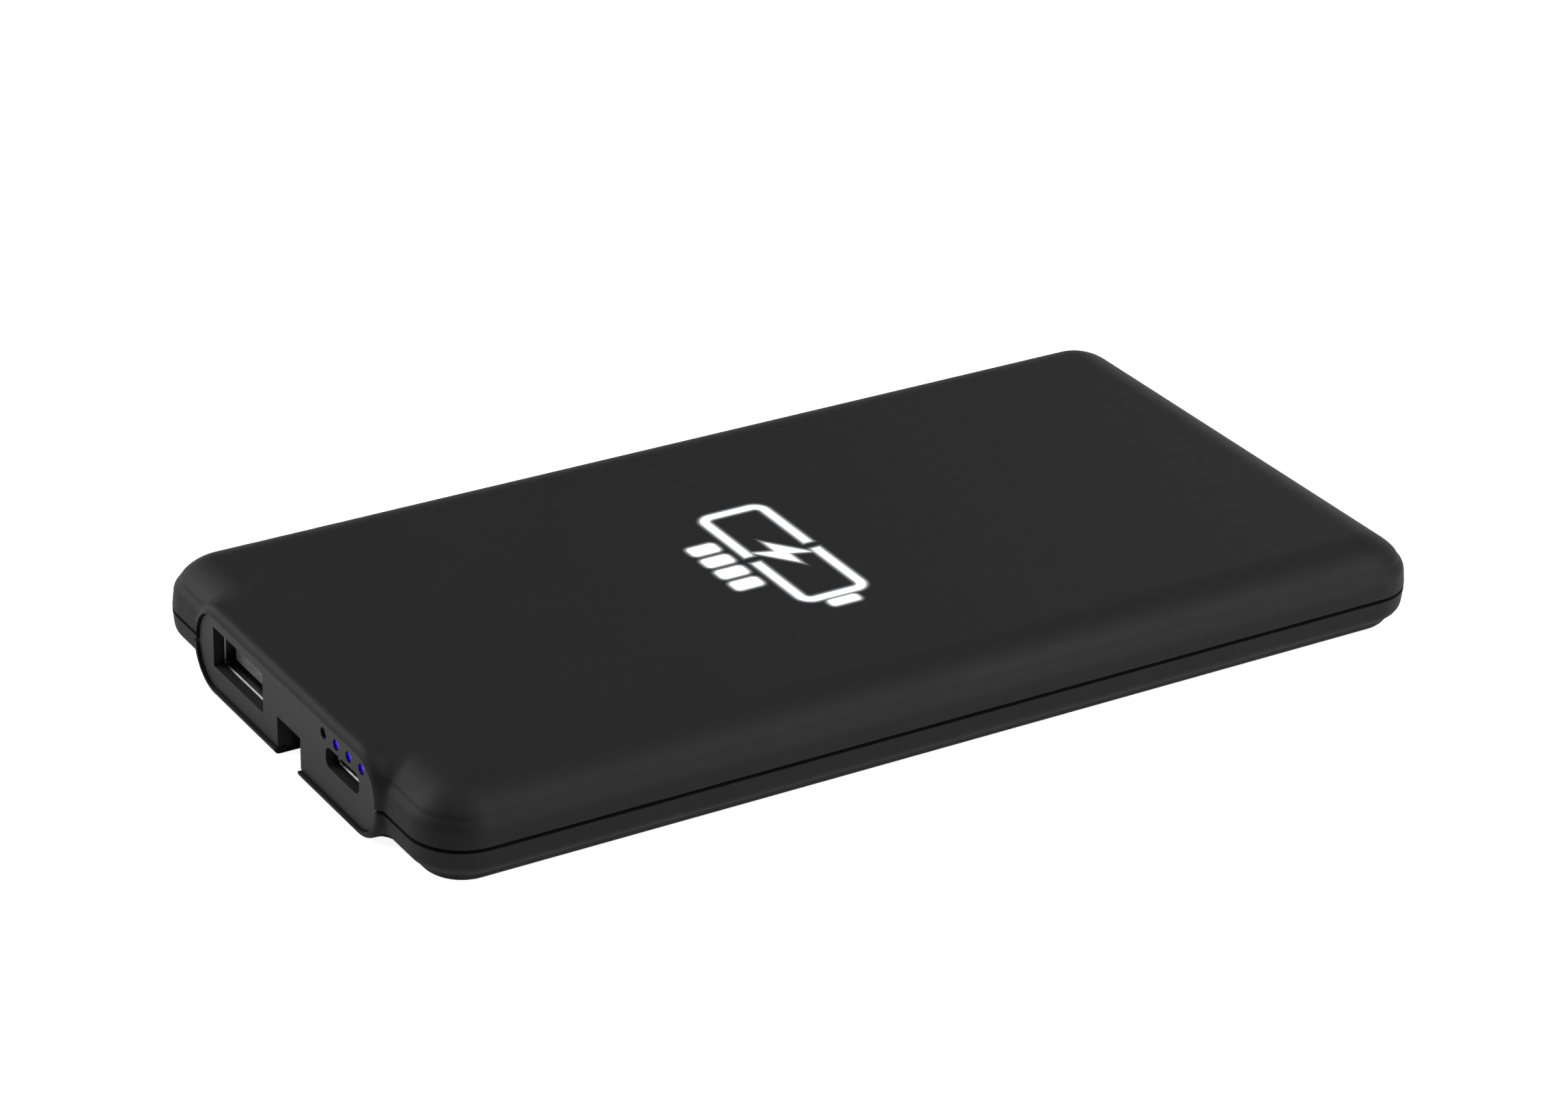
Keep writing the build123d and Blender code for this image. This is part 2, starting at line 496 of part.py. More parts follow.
def chip(x, y, length, width, height, edge=0.15):
    """Moulded component body standing on the board."""
    body = block(x - length / 2, x + length / 2, y - width / 2, y + width / 2, BOARD_TOP, BOARD_TOP + height)
    return chamfer(body.edges().group_by(Axis.Z)[-1], edge)


def inductor():
    body = chip(*INDUCTOR, 0.5)
    return fillet(body.edges().filter_by(Axis.Z), 1.0)


def chip_row(start, pitch, size, count, along=0, edge=0.1):
    """Row of equal components from its first place, along X (0) or Y (1)."""
    steps = [(pitch * k, 0) if along == 0 else (0, pitch * k) for k in range(count)]
    return [chip(start[0] + dx, start[1] + dy, *size, edge) for dx, dy in steps]


def gauge_led_x():
    return PANEL_FACE_X + SHELL_BEHIND + MICRO_LEN + 2.0


def light_pipes():
    """Four clear prongs from the panel's holes back over the small socket, then down to the gauge lamps."""
    tip_x, back_x = PANEL_FACE_X + PIPE_BEHIND, gauge_led_x() + PIPE_W / 2
    low, half = BOARD_TOP + GAUGE_LAMP_SIZE[2] + LAMP_ROOM, PIPE_W / 2
    web_x = PANEL_BACK_X + 2.6
    pipes = block(web_x, web_x + 1.0, led_places()[-1], led_places()[0], LED_Z - 0.35, LED_Z + 0.35)
    for y in led_places():
        tip = Pos((tip_x + PANEL_BACK_X) / 2, y, LED_Z) * Rot(0, 90, 0) * Cylinder(
            LED_HOLE_R - PIPE_FIT, PANEL_BACK_X - tip_x)
        run = block(PANEL_BACK_X, back_x, y - half, y + half, LED_Z - half, LED_Z + half)
        leg = block(back_x - PIPE_W, back_x, y - half, y + half, low, LED_Z)
        corner = (run + leg).edges().filter_by(Axis.Y).sort_by(lambda e: e.center().X + e.center().Z)[-1]
        pipes += tip + chamfer(corner, PIPE_BEND)
    return pipes


def switch_parts():
    """Side-push switch on the board's edge: its body with a pocket, and the plunger that slides in it."""
    face_y = SWITCH_FACE_Y
    body = block(BUTTON_X - SWITCH_L / 2, BUTTON_X + SWITCH_L / 2, face_y - SWITCH_W, face_y, BOARD_TOP,
                 BOARD_TOP + SWITCH_H)
    body -= block(BUTTON_X - POCKET_L / 2, BUTTON_X + POCKET_L / 2, face_y - POCKET_W, face_y + 1,
                  SWITCH_Z - POCKET_H / 2, SWITCH_Z + POCKET_H / 2)
    plunger = block(BUTTON_X - PLUNGER_L / 2, BUTTON_X + PLUNGER_L / 2, face_y - PLUNGER_IN,
                    face_y + PLUNGER_OUT, SWITCH_Z - PLUNGER_H / 2, SWITCH_Z + PLUNGER_H / 2)
    return body, fillet(plunger.edges().group_by(Axis.Y)[-1], PLUNGER_R)


def power_button():
    """Pill-shaped cap in the flange, with ears behind the wall and a stem to the switch."""
    wall_y = HALF_W - WALL
    cap = side_pill(BUTTON_L, BUTTON_H, wall_y - 0.3, BUTTON_FACE_Y, BUTTON_Z)
    cap = fillet(cap.edges().group_by(Axis.Y)[-1], 0.3)
    ears = block(BUTTON_X - EAR_L / 2, BUTTON_X + EAR_L / 2, wall_y - EAR_GAP - EAR_T, wall_y - EAR_GAP,
                 BUTTON_Z - EAR_H / 2, BUTTON_Z + EAR_H / 2)
    stem = block(BUTTON_X - STEM_W / 2, BUTTON_X + STEM_W / 2, SWITCH_FACE_Y + PLUNGER_OUT, wall_y - 0.5,
                 SWITCH_Z - STEM_LOW, SWITCH_Z + STEM_HIGH)
    return cap + ears + stem


# ---------------------------------------------------------------- cell and light

def battery_cell():
    """Flat pouch cell with softly rounded edges and a thin sealed seam at the terminal end."""
    body = block(CELL_X0 + CELL_SEAM, CELL_X1, -CELL_HALF_W, CELL_HALF_W, CELL_LOW, CELL_TOP)
    body = fillet(body.edges().filter_by(Axis.Z), CELL_R)
    faces = body.faces().sort_by(Axis.Z)
    body = fillet(faces[-1].edges() + faces[0].edges(), CELL_EDGE_R)
    middle = (CELL_LOW + CELL_TOP) / 2
    seam_half_w = CELL_HALF_W - 2
    return body + block(CELL_X0, CELL_X0 + CELL_SEAM + 0.5, -seam_half_w, seam_half_w,
                        middle - CELL_SEAM_HALF_T, middle + CELL_SEAM_HALF_T)


def cell_tab(y):
    """Terminal strip from the pouch's seam, bent onto the board."""
    middle = (CELL_LOW + CELL_TOP) / 2
    y0, y1 = y - TAB_HALF_W, y + TAB_HALF_W
    low, high = middle - TAB_T / 2, middle + TAB_T / 2
    rise_x0, rise_x1 = CELL_X0 - TAB_RISE_X - TAB_RISE_T, CELL_X0 - TAB_RISE_X
    strip = block(rise_x0, CELL_X0, y0, y1, low, high)
    pad = block(rise_x1 - TAB_PAD_L, rise_x1, y0, y1, BOARD_TOP, BOARD_TOP + TAB_T)
    rise = block(rise_x0, rise_x1, y0, y1, min(BOARD_TOP, low), max(BOARD_TOP + TAB_T, high))
    return strip + pad + rise


def light_guide():
    """Clear plate under the mark, with an edge that turns down over the white lamps on the board."""
    plate = block(GUIDE_X0, GUIDE_X1, -GUIDE_HALF_W, GUIDE_HALF_W, GUIDE_TOP - GUIDE_T, GUIDE_TOP)
    lamp_top = BOARD_TOP + MARK_LAMP_SIZE[2]
    leg = block(GUIDE_LEG_X0, GUIDE_LEG_X0 + GUIDE_LEG_T, -GUIDE_LEG_HALF_W, GUIDE_LEG_HALF_W,
                lamp_top + LAMP_ROOM, GUIDE_TOP)
    outer_edge = leg.edges().filter_by(Axis.Y).sort_by(lambda e: e.center().Z - e.center().X)[-1]
    return plate + chamfer(outer_edge, PIPE_BEND)


# ---------------------------------------------------------------- write the nodes

save("top_cover", top_cover())
save("bottom_cover", bottom_cover())
save("port_panel", port_panel())
save("glow_mark", *mark_solids(GUIDE_TOP, HEIGHT))
save("light_guide", light_guide())
save("mark_lamps", *[chip(MARK_LAMP_X, y, *MARK_LAMP_SIZE, 0.1) for y in MARK_LAMP_YS])

usb_shell, usb_tongue, usb_contacts = usb_a_parts()
save("usb_a_shell", usb_shell)
save("usb_a_tongue", usb_tongue)
save("usb_a_contacts", *usb_contacts)
micro_shell, micro_tongue, micro_contacts = micro_parts()
save("micro_usb_shell", micro_shell)
save("micro_usb_tongue", micro_tongue)
save("micro_usb_contacts", *micro_contacts)

save("main_board", main_board())
save("board_screws", *[board_screw(x, y) for x in SCREW_X for y in (-SCREW_Y, SCREW_Y)])
save("gauge_light_pipes", light_pipes())
save("gauge_lamps", *[chip(gauge_led_x(), y, *GAUGE_LAMP_SIZE, 0.1) for y in led_places()])
save("power_inductor", inductor())
save("charge_controller", chip(*CONTROLLER))
save("protection_chip", chip(*PROTECTION))
save("power_switches", *[chip(x, POWER_SWITCH_Y, *POWER_SWITCH_SIZE) for x in POWER_SWITCH_X])
save("output_capacitors", *chip_row(OUTPUT_CAP_START, OUTPUT_CAP_PITCH, OUTPUT_CAP_SIZE, 3))
save("chip_capacitors", *chip_row(CHIP_CAP_START, CHIP_CAP_PITCH, CHIP_CAP_SIZE, 6))
save("chip_resistors", *chip_row(RESISTOR_START, RESISTOR_PITCH, RESISTOR_SIZE, 6, along=1, edge=0.08))

switch_body, switch_plunger = switch_parts()
save("switch_body", switch_body)
save("switch_plunger", switch_plunger)
save("power_button", power_button())

save("battery_cell", battery_cell())
save("positive_tab", cell_tab(TAB_Y))
save("negative_tab", cell_tab(-TAB_Y))
save("cell_tape", block(CELL_X0 + TAPE_END, CELL_X1 - TAPE_END, -TAPE_HALF_W, TAPE_HALF_W, FLOOR, CELL_LOW))
save("cell_foam", block(GUIDE_X1 + FOAM_START, CELL_X1 - FOAM_END, -FOAM_HALF_W, FOAM_HALF_W,
                        CELL_TOP, GUIDE_TOP))
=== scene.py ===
# %% [markdown]
# # A slim power bank with a glowing symbol
# The object is a flat battery pack in two black covers with a soft, rubbery coating. A small panel at one
# end holds the sockets and four gauge lamps, and a white symbol glows through the top cover. Everything
# that has a real shape is already made as separate solid pieces, in metres, in one shared frame. So this
# lesson is about finish: camera, light, and a material for each piece that still looks right close up.

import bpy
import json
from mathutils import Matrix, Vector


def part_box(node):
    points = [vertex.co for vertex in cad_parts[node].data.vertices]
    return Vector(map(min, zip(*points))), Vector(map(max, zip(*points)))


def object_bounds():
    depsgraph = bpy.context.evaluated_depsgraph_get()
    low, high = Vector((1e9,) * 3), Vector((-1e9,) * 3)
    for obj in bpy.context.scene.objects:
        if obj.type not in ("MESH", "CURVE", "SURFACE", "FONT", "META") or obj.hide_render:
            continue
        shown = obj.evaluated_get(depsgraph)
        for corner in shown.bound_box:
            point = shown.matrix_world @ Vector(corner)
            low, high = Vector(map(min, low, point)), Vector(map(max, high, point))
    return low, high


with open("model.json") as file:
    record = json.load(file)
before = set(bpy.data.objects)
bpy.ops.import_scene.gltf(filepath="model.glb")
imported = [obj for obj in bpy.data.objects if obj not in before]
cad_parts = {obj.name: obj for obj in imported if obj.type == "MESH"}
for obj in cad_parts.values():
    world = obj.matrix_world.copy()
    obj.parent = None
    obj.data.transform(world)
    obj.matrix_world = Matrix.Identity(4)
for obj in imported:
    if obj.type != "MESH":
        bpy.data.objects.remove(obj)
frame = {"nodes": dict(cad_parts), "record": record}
solid_bounds = [list(corner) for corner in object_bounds()]

import bpy
import json
import math
from mathutils import Matrix, Vector

nodes = frame["nodes"]

# %% [markdown]
# Places come from the pieces themselves, never from a guess. A box gives the lowest and the highest corner
# of a piece, so the top of the cover or the tips of the light pipes are one line away. Sizes on such a
# small object are easiest to think of in millimetres, so one name turns them into metres.

# %% Measures from the pieces
MM = 0.001

lowest, highest = solid_bounds
top_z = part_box("top_cover")[1].z
pipes_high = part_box("gauge_light_pipes")[1]
print("length", round((highest[0] - lowest[0]) / MM, 2), "mm, top at", round(top_z / MM, 2), "mm")

# %% [markdown]
# ## Camera
# A small product looks calm and true when the camera stands well back with a long lens, because the far end
# then shrinks very little. The camera is set up in plain words: how far round, how high, how far away, and
# a small tilt of the horizon. Working out the matrix from these four values is easier to read and to change
# than twelve bare numbers.

# %% The camera
CAMERA_ROUND = math.radians(-32.36)   # 0 looks along +Y, and minus turns towards the port end
CAMERA_HEIGHT = math.radians(26.83)
CAMERA_TILT = math.radians(1.82)
CAMERA_DISTANCE = 0.556
CAMERA_LENS, CAMERA_SENSOR = 109.2, 36.0  # focal length and sensor width, in millimetres
CAMERA_NEAR = 0.01                    # nothing closer than this is drawn
AIM = Vector((1.4, 4.5, 8.3)) * MM    # close to the middle of the top


def camera_axes(around, height, tilt):
    """Right, up and back directions of a camera that looks at its aim from this side and height."""
    level_part = math.cos(height)
    back = Vector((math.sin(around) * level_part, -math.cos(around) * level_part, math.sin(height)))
    level = Vector((math.cos(around), math.sin(around), 0))
    upright = back.cross(level)
    right = level * math.cos(tilt) + upright * math.sin(tilt)
    return right, back.cross(right), back


right, up, back = camera_axes(CAMERA_ROUND, CAMERA_HEIGHT, CAMERA_TILT)
camera_data = bpy.data.cameras.new("studio_camera")
camera_data.lens = CAMERA_LENS
camera_data.sensor_width = CAMERA_SENSOR
camera_data.clip_start = CAMERA_NEAR
camera = bpy.data.objects.new("studio_camera", camera_data)
turned = Matrix((right, up, back)).transposed()
camera.matrix_world = Matrix.LocRotScale(AIM + back * CAMERA_DISTANCE, turned, None)
bpy.context.scene.collection.objects.link(camera)
bpy.context.scene.camera = camera
print("camera at", [round(v, 4) for v in camera.matrix_world.translation])

# %% [markdown]
# ## Light
# A black matt object shows almost nothing of its own colour. What the eye reads is the light on it, so the
# light is planned surface by surface. Each surface shows the camera the light from one side, as a dull
# mirror would. The large main softbox stands behind the port end. The nose's top edge, the wall beside it
# and the rims of the sockets catch it, while the notch and the hollows that face the camera stay dark. Two
# smaller ones on the right light the near side: a high one its shoulder and a low one its wall. A wide,
# weak one above keeps the flat top even, and a low one behind the far end draws a thin rim. A dim world
# keeps the edges that turn away from going dead.

# %% Lights and world
SOFTBOXES = {
    # name: place, width and depth in metres, power in watts
    "main_softbox": ((-0.72, 0.84, 0.55), 1.1, 0.8, 12.5),
    "band_softbox": ((0.48, -0.5, 0.72), 0.6, 0.35, 6.0),
    "wall_softbox": ((0.6, -0.85, 0.18), 0.9, 0.24, 5.0),
    "top_softbox": ((0.0, 0.0, 1.1), 1.2, 1.2, 5.5),
    "rim_softbox": ((0.75, 0.45, 0.2), 0.6, 0.15, 0.5),
}
SKY_STRENGTH = 0.12


def softbox(name, place, aim, width, depth, power):
    """A rectangular soft light that faces its aim."""
    light = bpy.data.lights.new(name, "AREA")
    light.shape = "RECTANGLE"
    light.size, light.size_y = width, depth
    light.energy = power
    lamp = bpy.data.objects.new(name, light)
    direction = Vector(aim) - Vector(place)
    lamp.matrix_world = Matrix.LocRotScale(Vector(place), direction.to_track_quat("-Z", "Y"), None)
    bpy.context.scene.collection.objects.link(lamp)


for name, (place, width, depth, power) in SOFTBOXES.items():
    softbox(name, place, (0, 0, top_z), width, depth, power)

world = bpy.data.worlds.new("studio_world")
bpy.context.scene.world = world
world.use_nodes = True
sky = world.node_tree.nodes["Background"]
sky.inputs["Color"].default_value = (1.0, 1.0, 1.0, 1.0)
sky.inputs["Strength"].default_value = SKY_STRENGTH
bpy.context.scene.view_settings.view_transform = "Standard"

# %% [markdown]
# ## A small kit for node trees
# Materials are trees of nodes. Adding a node, setting it and joining it takes many lines by hand, so short
# helpers do it: one places a node and fills its inputs with numbers or with other nodes' outputs, and
# others do a sum, move a value to another range or blend two colours. The last three are for the shader.
# One starts a material with one Principled shader, and sets the values that are the same all over directly
# on it, because they then survive an export. The others join what varies to its sockets, and turn a height
# into relief.

# %% Node helpers
def put(tree, kind, inputs=None, **settings):
    """Places a shader node. inputs maps a socket's name or number to a value or to another node's output."""
    made = tree.nodes.new("ShaderNode" + kind)
    for name, value in settings.items():
        setattr(made, name, value)
    for key, value in (inputs or {}).items():
        if isinstance(value, bpy.types.NodeSocket):
            tree.links.new(value, made.inputs[key])
        else:
            made.inputs[key].default_value = value
    return made


def sum_of(tree, operation, first, second=0.0, third=0.0, clamp=False):
    """One Math node, and its result."""
    made = put(tree, "Math", {0: first, 1: second, 2: third}, operation=operation, use_clamp=clamp)
    return made.outputs[0]


def between(tree, value, low, high, to_low=0.0, to_high=1.0):
    """Moves a value from one range to another and stops at the ends."""
    ranged = put(tree, "MapRange", {"Value": value, "From Min": low, "From Max": high,
                                    "To Min": to_low, "To Max": to_high})
    return ranged.outputs["Result"]


def blend_colours(tree, mask, first, second):
    """First colour where the mask is 0, second where it is 1."""
    mixed = put(tree, "Mix", {"Factor": mask, "A": first, "B": second}, data_type="RGBA")
    return mixed.outputs["Result"]


def colour(red, green=None, blue=None):
    """A colour with full alpha; one number makes a grey."""
    return (red, red if green is None else green, red if blue is None else blue, 1.0)


def scaled(shade, factor):
    """The same colour made lighter or darker by a factor, with no channel over 1."""
    return colour(*[min(1.0, factor * channel) for channel in shade[:3]])


def new_finish(name, **same_all_over):
    """A material with one Principled shader, with the given values set on its own sockets."""
    material = bpy.data.materials.new(name)
    material.use_nodes = True
    shader = material.node_tree.nodes["Principled BSDF"]
    for socket, value in same_all_over.items():
        shader.inputs[socket.replace("_", " ")].default_value = value
    return material, material.node_tree, shader


def feed(tree, shader, **outputs):
    """Joins other nodes' outputs to the shader's sockets with these names."""
    for socket, output in outputs.items():
        tree.links.new(output, shader.inputs[socket.replace("_", " ")])


def emboss(tree, shader, height, strength, depth):
    """Lets a height stand out of the surface; depth is its rise in millimetres."""
    bump = put(tree, "Bump", {"Strength": strength, "Distance": depth * MM, "Height": height})
    feed(tree, shader, Normal=bump.outputs["Normal"])


# %% [markdown]
# A node group is a part tree with its own inputs and outputs, built once and placed in as many materials as
# need it. It works like a function: grain, wear, marks of handling and brushing are made once, and each
# material asks for them at its own size. Groups here give out only masks and values, and the shader stays
# in the material.

# %% Group helpers
def new_group(name, inputs, outputs):
    """An empty node group. inputs maps names to starting values and outputs lists names; all are numbers."""
    group = bpy.data.node_groups.new(name, "ShaderNodeTree")
    for title, start in inputs.items():
        group.interface.new_socket(title, in_out="INPUT", socket_type="NodeSocketFloat").default_value = start
    for title in outputs:
        group.interface.new_socket(title, in_out="OUTPUT", socket_type="NodeSocketFloat")
    source = group.nodes.new("NodeGroupInput")
    result = group.nodes.new("NodeGroupOutput")
    return group, source.outputs, result.inputs


def use_group(tree, group, **values):
    """Places a group in a material with its own values, and returns its outputs."""
    placed = tree.nodes.new("ShaderNodeGroup")
    placed.node_tree = group
    for title, value in values.items():
        placed.inputs[title].default_value = value
    return placed.outputs


def place_in_mm(tree):
    """Where the shaded point is, in millimetres in the object's frame."""
    spot = put(tree, "TexCoord").outputs["Object"]
    return put(tree, "VectorMath", {0: spot, "Scale": 1 / MM}, operation="SCALE").outputs[0]


def noise(tree, place, size, detail=2.0, roughness=0.5, distortion=0.0):
    """Soft noise whose bumps are about size millimetres wide; size is a number or another node's output."""
    scale = sum_of(tree, "DIVIDE", 1.0, size)
    return put(tree, "TexNoise", {"Vector": place, "Scale": scale, "Detail": detail, "Roughness": roughness,
                                  "Distortion": distortion}).outputs["Fac"]


# %% [markdown]
# **Grain.** Sprayed rubber paint, spark-eroded moulds and moulded nylon all have a fine grain. One group
# serves them all: a fine noise for the grain, and a wider and weaker one for the slight waviness that a
# real surface has. The size is given in millimetres, so the grain stays true to the object.

# %% Grain group
grain_group, given, result = new_group("fine_grain", {"Size": 0.1, "Waviness": 0.3}, ["Height", "Fleck"])
place = place_in_mm(grain_group)
fine = noise(grain_group, place, given["Size"], detail=3.0, roughness=0.6)
coarse = noise(grain_group, place, sum_of(grain_group, "MULTIPLY", given["Size"], 8.0), detail=1.0)
height = sum_of(grain_group, "MULTIPLY_ADD", coarse, given["Waviness"], fine)
grain_group.links.new(height, result["Height"])
grain_group.links.new(between(grain_group, fine, 0.35, 0.65), result["Fleck"])
print("group:", grain_group.name)

# %% [markdown]
# **Edge wear.** Hands and pockets polish the edges first. The Bevel node gives the normal as it would be if
# the edges were rounded. Where that differs from the true normal there is an edge, so the difference is a
# mask. Noise breaks the mask up, because wear is never even.

# %% Edge wear group
wear_group, given, result = new_group("edge_wear", {"Radius": 0.3, "Patch": 3.0}, ["Mask"])
rounded = put(wear_group, "Bevel", {"Radius": sum_of(wear_group, "MULTIPLY", given["Radius"], MM)}, samples=4)
true_normal = put(wear_group, "NewGeometry").outputs["Normal"]
match = put(wear_group, "VectorMath", {0: rounded.outputs[0], 1: true_normal}, operation="DOT_PRODUCT")
edge = between(wear_group, match.outputs["Value"], 0.98, 0.8)
place = place_in_mm(wear_group)
patches = noise(wear_group, place, given["Patch"], detail=4.0)
worn = sum_of(wear_group, "MULTIPLY", edge, between(wear_group, patches, 0.4, 0.65), clamp=True)
wear_group.links.new(worn, result["Mask"])
print("group:", wear_group.name)

# %% [markdown]
# **Handling marks.** Skin oil leaves broad, cloudy patches that are a little shinier than clean rubber. Two
# warped noises of different size, multiplied, give clouds with gaps between them.

# %% Handling marks group
handling_group, given, result = new_group("handling_marks", {"Size": 14.0}, ["Mask"])
place = place_in_mm(handling_group)
broad = noise(handling_group, place, given["Size"], detail=3.0, distortion=1.2)
streaks = noise(handling_group, place, sum_of(handling_group, "MULTIPLY", given["Size"], 0.27), detail=4.0,
                distortion=2.0)
clouds = sum_of(handling_group, "MULTIPLY", between(handling_group, broad, 0.4, 0.7),
                between(handling_group, streaks, 0.3, 0.75))
handling_group.links.new(clouds, result["Mask"])
print("group:", handling_group.name)

# %% [markdown]
# **Brushing.** Rolled and plated metal has fine lines along one direction. Noise that is stretched a lot
# along that direction draws them, and the same lines serve for height and for roughness.

# %% Brushed lines group
brushed_group, given, result = new_group("brushed_lines", {"Size": 0.05, "Stretch": 30.0}, ["Line"])
place = place_in_mm(brushed_group)
squeeze = sum_of(brushed_group, "DIVIDE", 1.0, given["Stretch"])
along = put(brushed_group, "CombineXYZ", {0: squeeze, 1: 1.0, 2: 1.0})
stretched = put(brushed_group, "VectorMath", {0: place, 1: along.outputs[0]}, operation="MULTIPLY").outputs[0]
lines = noise(brushed_group, stretched, given["Size"], detail=3.0)
brushed_group.links.new(lines, result["Line"])
print("group:", brushed_group.name)

# %% [markdown]
# ## The glow round the symbol
# The symbol is a set of translucent inlays with lamps behind them. Their light creeps a little way into the
# thin coating beside them, so each shape has a soft halo. A blur in the finished picture would do it for
# one view only. Here the coating itself works out how far each point is from the symbol, in the flat plane
# of the top, and glows by that distance. The distance to a round-cornered box is a short sum, and the
# symbol is a few such boxes and a bolt made of two triangles.

# %% Sizes of the symbol, in millimetres
SYMBOL_AT = Vector((-2.2, -0.8))          # middle of the battery outline
OUTLINE_HALF = (11.7, 4.0)                # middle line of the outline
OUTLINE_CORNER, OUTLINE_LINE = 1.35, 1.0
BRIDGE_HALF = 0.9                         # the two breaks in the outline
TERMINAL_AT, TERMINAL_HALF, TERMINAL_CORNER = (13.5, 0.0), (0.75, 1.9), 0.5
LEVEL_AT, LEVEL_HALF, LEVEL_CORNER, LEVEL_PITCH = -7.7, (1.1, 1.8), 0.6, 3.2
BOLT_TIP, BOLT_HEEL, BOLT_WAIST = (1.3, 2.9), (-3.0, -0.55), (0.45, 0.55)
HALO_REACH = 0.8
HALO_FALL = 3.0                           # how steeply the glow fades along its reach
SPILL_NONE, SPILL_FULL = 0.3, 0.1         # depths below the top where there is no glow, and all of it


def box_distance(tree, u, v, half, corner):
    """Distance from the point (u, v) to a round-cornered box round the origin, minus inside."""
    du = sum_of(tree, "SUBTRACT", sum_of(tree, "ABSOLUTE", u), half[0] - corner)
    dv = sum_of(tree, "SUBTRACT", sum_of(tree, "ABSOLUTE", v), half[1] - corner)
    out_u, out_v = sum_of(tree, "MAXIMUM", du, 0.0), sum_of(tree, "MAXIMUM", dv, 0.0)
    squared = sum_of(tree, "MULTIPLY_ADD", out_u, out_u, sum_of(tree, "MULTIPLY", out_v, out_v))
    outside = sum_of(tree, "SQRT", squared)
    inside = sum_of(tree, "MINIMUM", sum_of(tree, "MAXIMUM", du, dv), 0.0)
    return sum_of(tree, "SUBTRACT", sum_of(tree, "ADD", outside, inside), corner)


def line_distance(tree, u, v, start, end):
    """Distance from a straight line, plus on the right of the way from start to end."""
    across = Vector((end[1] - start[1], start[0] - end[0])).normalized()
    offset = -(across.x * start[0] + across.y * start[1])
    return sum_of(tree, "MULTIPLY_ADD", u, across.x, sum_of(tree, "MULTIPLY_ADD", v, across.y, offset))


def half_bolt(tree, u, v):
    """Distance to the upper triangle of the bolt."""
    slant = line_distance(tree, u, v, BOLT_TIP, BOLT_HEEL)
    flank = line_distance(tree, u, v, BOLT_WAIST, BOLT_TIP)
    foot = sum_of(tree, "SUBTRACT", BOLT_HEEL[1], v)
    return sum_of(tree, "MAXIMUM", slant, sum_of(tree, "MAXIMUM", flank, foot))


# %% Glow spill group
spill_group, given, result = new_group("glow_spill", {"Reach": HALO_REACH}, ["Mask"])
place = place_in_mm(spill_group)
split = put(spill_group, "SeparateXYZ", {0: place}).outputs
reading = sum_of(spill_group, "SUBTRACT", SYMBOL_AT.y, split["Y"])
rising = sum_of(spill_group, "SUBTRACT", split["X"], SYMBOL_AT.x)

middle_line = box_distance(spill_group, reading, rising, OUTLINE_HALF, OUTLINE_CORNER)
ring = sum_of(spill_group, "SUBTRACT", sum_of(spill_group, "ABSOLUTE", middle_line), OUTLINE_LINE / 2)
gap = sum_of(spill_group, "SUBTRACT", BRIDGE_HALF, sum_of(spill_group, "ABSOLUTE", reading))
ring = sum_of(spill_group, "MAXIMUM", ring, gap)

terminal = box_distance(spill_group, sum_of(spill_group, "SUBTRACT", reading, TERMINAL_AT[0]), rising,
                        TERMINAL_HALF, TERMINAL_CORNER)
bar_number = sum_of(spill_group, "FLOOR", sum_of(spill_group, "DIVIDE", reading, LEVEL_PITCH))
bar_number = sum_of(spill_group, "MINIMUM", sum_of(spill_group, "MAXIMUM", bar_number, -2.0), 1.0)
bar_middle = sum_of(spill_group, "MULTIPLY_ADD", bar_number, LEVEL_PITCH, LEVEL_PITCH / 2)
levels = box_distance(spill_group, sum_of(spill_group, "SUBTRACT", reading, bar_middle),
                      sum_of(spill_group, "SUBTRACT", rising, LEVEL_AT), LEVEL_HALF, LEVEL_CORNER)
bolt = sum_of(spill_group, "MINIMUM", half_bolt(spill_group, reading, rising),
              half_bolt(spill_group, sum_of(spill_group, "MULTIPLY", reading, -1.0),
                        sum_of(spill_group, "MULTIPLY", rising, -1.0)))

nearest = ring
for shape in (terminal, levels, bolt):
    nearest = sum_of(spill_group, "MINIMUM", nearest, shape)
fading = sum_of(spill_group, "DIVIDE", sum_of(spill_group, "MAXIMUM", nearest, 0.0), given["Reach"])
fading = sum_of(spill_group, "SUBTRACT", 1.0, fading, clamp=True)
fading = sum_of(spill_group, "POWER", fading, HALO_FALL)
on_top = between(spill_group, split["Z"], top_z / MM - SPILL_NONE, top_z / MM - SPILL_FULL)
spill_group.links.new(sum_of(spill_group, "MULTIPLY", fading, on_top), result["Mask"])
print("group:", spill_group.name, "with", len(spill_group.nodes), "nodes")

# %% [markdown]
# ## Finishes
# ### Soft-touch black
# The covers are moulded plastic with a sprayed rubber coat. It is nearly black, has little gloss, and a
# faint velvet sheen where the surface turns away. A very fine grain keeps highlights from looking like bare
# plastic. The edges of the gap and of the openings are rubbed a little smoother.

# %% Soft-touch coating
finishes = {}


